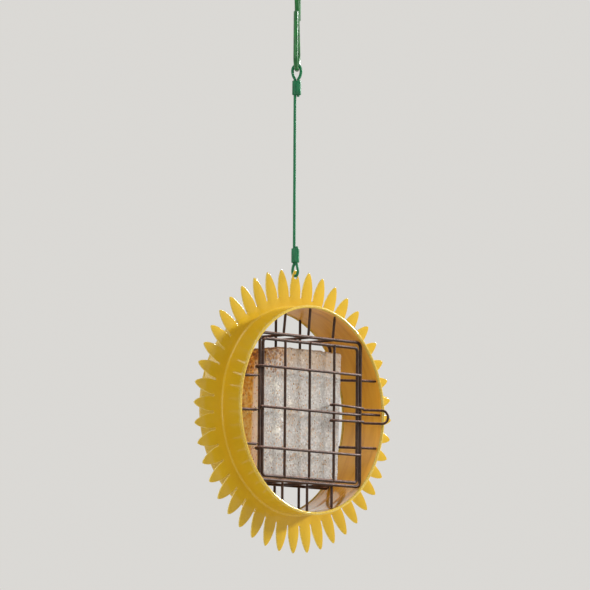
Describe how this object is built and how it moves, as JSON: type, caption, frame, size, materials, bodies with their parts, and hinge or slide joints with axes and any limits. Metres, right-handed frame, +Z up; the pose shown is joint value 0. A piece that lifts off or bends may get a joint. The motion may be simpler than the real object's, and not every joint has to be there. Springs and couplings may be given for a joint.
{
  "type": "suet feeder",
  "caption": "Hanging suet feeder: hinged wire cage with a suet cake in a round petal-edged ring, on a cable with an S hook.",
  "frame": {"origin": "seat of the S hook: the inside top of its upper bend, where it rests on a support", "axes": "+Z up; the cage door faces -Y; X runs across the ring's face"},
  "size_m": [0.2432, 0.0585, 0.5116],
  "materials": {
    "yellow_enamel": "glossy enamel",
    "brown_wire": "satin coating",
    "suet": "greasy, crumbly",
    "cable_coating": "clear-coated wire rope",
    "ferrule_paint": "satin",
    "hook_coating": "high-gloss vinyl"
  },
  "bodies": {
    "hook": {"hanger_hook": "hook_coating"},
    "hanger": {"hanger_cable": "cable_coating", "lower_ferrule": "ferrule_paint", "upper_ferrule": "ferrule_paint"},
    "feeder": {"ring_band": "yellow_enamel", "petal_flange": "yellow_enamel", "cage_front_frame": "brown_wire", "cage_back_frame": "brown_wire", "cage_hoop_upper": "brown_wire", "cage_hoop_middle": "brown_wire", "cage_hoop_lower": "brown_wire", "back_upright_left": "brown_wire", "back_upright_middle": "brown_wire", "back_upright_right": "brown_wire", "roof_wire_left": "brown_wire", "roof_wire_middle": "brown_wire", "roof_wire_right": "brown_wire", "floor_wire_left": "brown_wire", "floor_wire_middle": "brown_wire", "floor_wire_right": "brown_wire", "top_stay_left": "brown_wire", "top_stay_middle": "brown_wire", "top_stay_right": "brown_wire", "bottom_stay_left": "brown_wire", "bottom_stay_middle": "brown_wire", "bottom_stay_right": "brown_wire", "suet_cake": "suet"},
    "door": {"door_frame": "brown_wire", "door_upright_left": "brown_wire", "door_upright_middle": "brown_wire", "door_upright_right": "brown_wire", "door_rail_upper": "brown_wire", "door_rail_middle": "brown_wire", "door_rail_lower": "brown_wire"},
    "latch": {"latch_loop": "brown_wire"}
  },
  "joints": [
    {"name": "hook_swing", "type": "hinge", "parent": "hook", "child": "hanger", "pos_m": [0, 0, -0.091], "axis": [0.788, 0.6157, 0], "range_deg": [-50, 50]},
    {"name": "feeder_sway", "type": "hinge", "parent": "hanger", "child": "feeder", "pos_m": [0, 0, -0.26975], "axis": [0, 1, 0], "range_deg": [-40, 40]},
    {"name": "door_hinge", "type": "hinge", "parent": "feeder", "child": "door", "pos_m": [-0.06225, -0.019, -0.386], "axis": [0, 0, -1], "range_deg": [0, 103]},
    {"name": "latch_hinge", "type": "hinge", "parent": "door", "child": "latch", "pos_m": [0.02888, -0.0192, -0.386], "axis": [0, 0, -1], "range_deg": [0, 150]}
  ]
}
